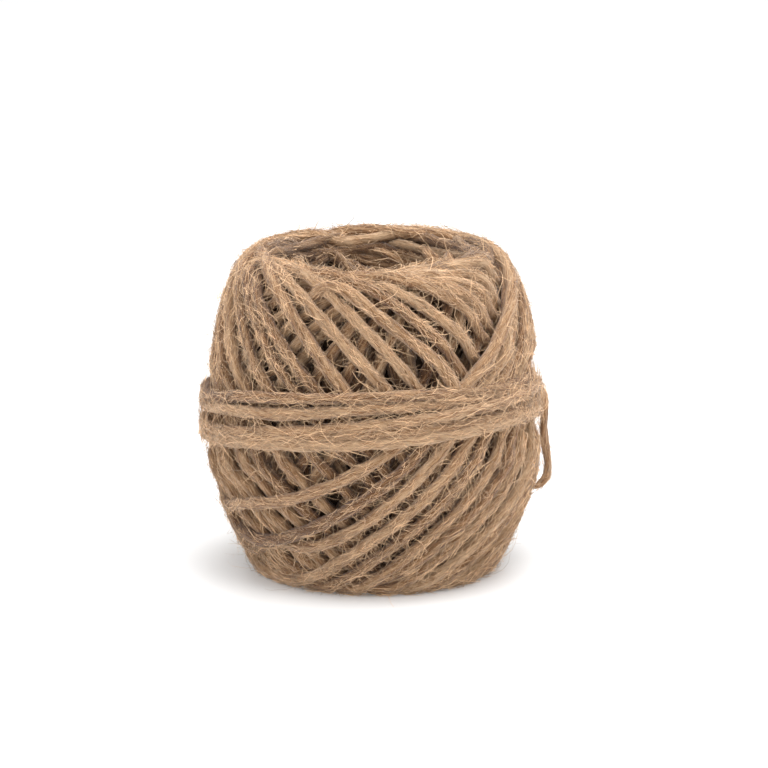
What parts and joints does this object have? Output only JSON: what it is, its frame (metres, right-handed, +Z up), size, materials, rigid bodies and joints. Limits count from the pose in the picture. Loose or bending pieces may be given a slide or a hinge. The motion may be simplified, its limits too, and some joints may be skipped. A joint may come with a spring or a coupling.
{
  "type": "ball of string",
  "caption": "Barrel-shaped ball of jute string, wound in diagonal turns about an open core, bound round its waist, with a short loose end; it stands on its flat end.",
  "frame": {"origin": "on the floor, under the middle of the ball", "axes": "+Z up along the open core, -Y towards the front, +X towards the side where the loose end hangs"},
  "size_m": [0.0815, 0.0796, 0.0744],
  "materials": {
    "wound_jute": "dull natural bast fibre, hairy",
    "loose_jute": "dull natural bast fibre, hairy"
  },
  "bodies": {
    "root": {"wound_ball": "wound_jute", "loose_end": "loose_jute"}
  },
  "joints": []
}
